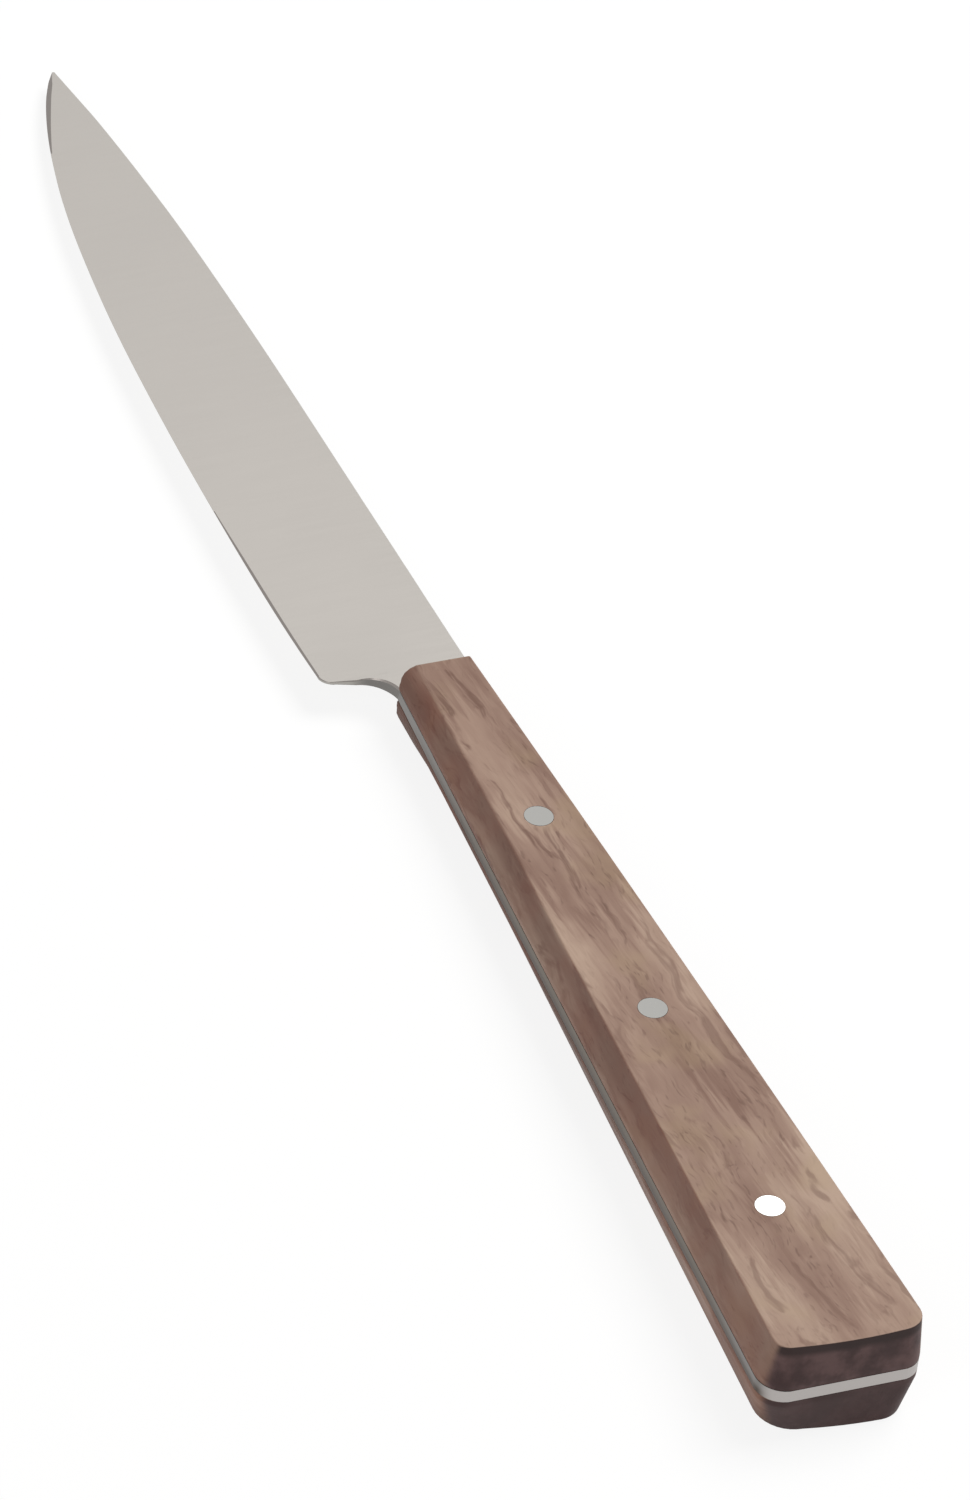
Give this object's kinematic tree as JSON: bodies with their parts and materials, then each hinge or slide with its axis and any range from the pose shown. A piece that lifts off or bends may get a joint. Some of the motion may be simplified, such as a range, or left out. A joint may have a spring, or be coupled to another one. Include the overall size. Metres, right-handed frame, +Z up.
{
  "type": "steak knife",
  "caption": "Steak knife with a pointed blade, a full tang and a tapered wooden handle of two faceted scales held by pins.",
  "frame": {"origin": "middle of the bounding box's bottom face, on the surface that the knife lies on", "axes": "+X from the tip to the butt, +Y from the cutting edge to the spine, +Z up through the thickness of the handle"},
  "size_m": [0.2224, 0.023, 0.0123],
  "materials": {
    "blade_steel": "satin",
    "upper_wood": "satin oiled",
    "lower_wood": "satin oiled",
    "pin_metal": "satin, ground flush"
  },
  "bodies": {
    "root": {"blade_and_tang": "blade_steel", "upper_scale": "upper_wood", "lower_scale": "lower_wood", "front_pin": "pin_metal", "middle_pin": "pin_metal", "rear_pin": "pin_metal"}
  },
  "joints": []
}
